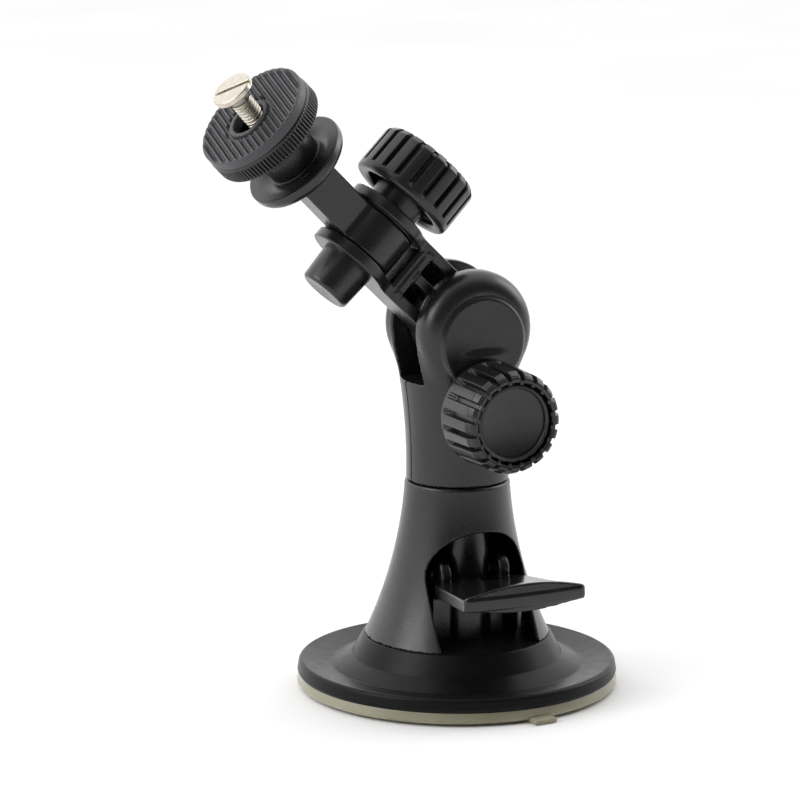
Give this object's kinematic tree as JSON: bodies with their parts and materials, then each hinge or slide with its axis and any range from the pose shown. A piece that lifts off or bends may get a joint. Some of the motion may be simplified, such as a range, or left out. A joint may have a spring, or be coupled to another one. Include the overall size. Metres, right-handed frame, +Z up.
{
  "type": "suction camera mount",
  "caption": "Windscreen suction mount for a small in-car camera: lever-locked suction base, swivelling neck, clamped arm, and tilting head with a knurled ring and slotted camera screw.",
  "frame": {"origin": "centre of the suction pad's flat underside, on the swivel axis of the neck", "axes": "+Z up, away from the glass; the neck clamp knob and the locking lever point to -Y; the arm leans towards -X"},
  "size_m": [0.096, 0.0738, 0.1408],
  "materials": {
    "black_abs": "satin moulded ABS with a fine texture",
    "knob_plastic": "satin moulded plastic, slightly glossier on the knobs",
    "black_rubber": "matte ribbed rubber",
    "clear_pvc": "translucent yellowish soft PVC, glossy",
    "nickel_screw": "bright nickel plate",
    "zinc_steel": "zinc-plated steel",
    "brass_insert": "turned brass",
    "nylon": "natural nylon",
    "inner_plastic": "dark moulded nylon"
  },
  "bodies": {
    "base": {"suction_pad": "clear_pvc", "base_plate": "black_abs", "tower_shell": "black_abs", "tower_screws": "zinc_steel", "stem_guide": "black_abs"},
    "stem": {"pull_stem": "inner_plastic", "lever_pin": "zinc_steel"},
    "lever": {"cam_lever": "black_abs"},
    "neck": {"neck_front_shell": "black_abs", "neck_rear_shell": "black_abs", "neck_screws": "zinc_steel", "knuckle_pin": "zinc_steel", "clamp_bolt": "zinc_steel", "friction_washers": "nylon", "swivel_washer": "zinc_steel", "spring_washer": "zinc_steel", "swivel_screw": "zinc_steel", "swivel_nut": "zinc_steel"},
    "clamp_knob": {"clamp_knob": "knob_plastic", "knob_insert": "brass_insert", "knob_cap": "knob_plastic"},
    "arm": {"arm_link": "black_abs", "head_washers": "nylon", "nut_boss": "black_abs", "head_nut": "zinc_steel"},
    "head_knob": {"head_knob": "knob_plastic", "head_collar": "black_abs", "head_bolt": "zinc_steel"},
    "head": {"head_tongue": "black_abs", "floating_nut": "zinc_steel"},
    "lock_ring": {"lock_ring": "knob_plastic", "seat_pad": "black_rubber"},
    "camera_screw": {"camera_screw": "nickel_screw"}
  },
  "joints": [
    {"name": "neck_swivel", "type": "hinge", "parent": "base", "child": "neck", "pos_m": [0, 0, 0.0469], "axis": [0, 0, 1], "continuous": true},
    {"name": "arm_tilt", "type": "hinge", "parent": "neck", "child": "arm", "pos_m": [0, 0, 0.0815], "axis": [0, -1, 0], "range_deg": [-134, 44]},
    {"name": "head_tilt", "type": "hinge", "parent": "arm", "child": "head", "pos_m": [-0.02154, 0, 0.10252], "axis": [0.6984, 0, 0.7157], "range_deg": [-96, 84]},
    {"name": "clamp_knob_spin", "type": "hinge", "parent": "neck", "child": "clamp_knob", "pos_m": [0, -0.02, 0.0645], "axis": [0, -1, 0], "continuous": true},
    {"name": "head_knob_spin", "type": "hinge", "parent": "arm", "child": "head_knob", "pos_m": [-0.01037, 0, 0.11397], "axis": [0.6984, 0, 0.7157], "continuous": true},
    {"name": "lock_ring_spin", "type": "hinge", "parent": "head", "child": "lock_ring", "pos_m": [-0.04802, -0.00389, 0.12836], "axis": [-0.7118, -0.1045, 0.6946], "continuous": true},
    {"name": "camera_screw_spin", "type": "hinge", "parent": "head", "child": "camera_screw", "pos_m": [-0.05094, -0.00436, 0.13177], "axis": [-0.6613, -0.1043, 0.7428], "continuous": true},
    {"name": "stem_lift", "type": "slide", "parent": "base", "child": "stem", "axis": [0, 0, 1], "range_m": [-0.00115, 0.00115]},
    {"name": "lever_press", "type": "hinge", "parent": "stem", "child": "lever", "pos_m": [0, -0.0032, 0.0267], "axis": [1, 0, 0], "range_deg": [-30, 30]}
  ],
  "couplings": [
    {"joint": "lever_press", "follows": "stem_lift", "rad_per_m": 454.55}
  ]
}
